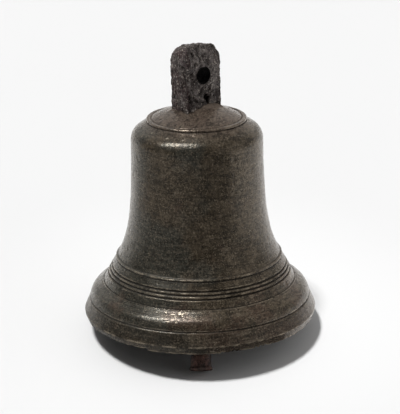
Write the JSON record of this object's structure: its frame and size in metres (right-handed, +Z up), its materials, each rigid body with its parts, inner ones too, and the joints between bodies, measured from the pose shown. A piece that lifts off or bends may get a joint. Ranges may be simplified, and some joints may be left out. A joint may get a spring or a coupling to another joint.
{
  "type": "sanctus bell",
  "caption": "Small turned bronze church bell on a flat iron hanging tang, with an iron clapper that swings on a pin in a staple under the crown.",
  "frame": {"origin": "centre of the hanger hole, on the bell's axis", "axes": "+Z up along the bell's axis, away from the mouth; Y along the hanger hole; X across the width of the tang"},
  "size_m": [0.2, 0.2, 0.265],
  "materials": {
    "bell_bronze": "dark brown patinated cast bronze, turned, semi-matt with a soft sheen",
    "tang_iron": "rough, pitted and corroded, dark grey to purple brown",
    "staple_iron": "dark rusted wrought iron",
    "clapper_iron": "dark red-brown rusted wrought iron, worn where handled",
    "pin_steel": "dull dark steel with light rust",
    "bush_brass": "turned brass, tarnished"
  },
  "bodies": {
    "bell": {"bell_body": "bell_bronze", "hanger_tang": "tang_iron", "crown_staple": "staple_iron", "clapper_pin": "pin_steel", "pin_washer": "pin_steel", "split_pin": "pin_steel"},
    "clapper": {"clapper_bush": "bush_brass", "clapper_shank": "clapper_iron", "clapper_ball": "clapper_iron", "clapper_flight": "clapper_iron"}
  },
  "joints": [
    {"name": "clapper_swing", "type": "hinge", "parent": "bell", "child": "clapper", "pos_m": [0, 0, -0.0725], "axis": [0.766, -0.6428, 0], "range_deg": [0, 54.8]}
  ]
}
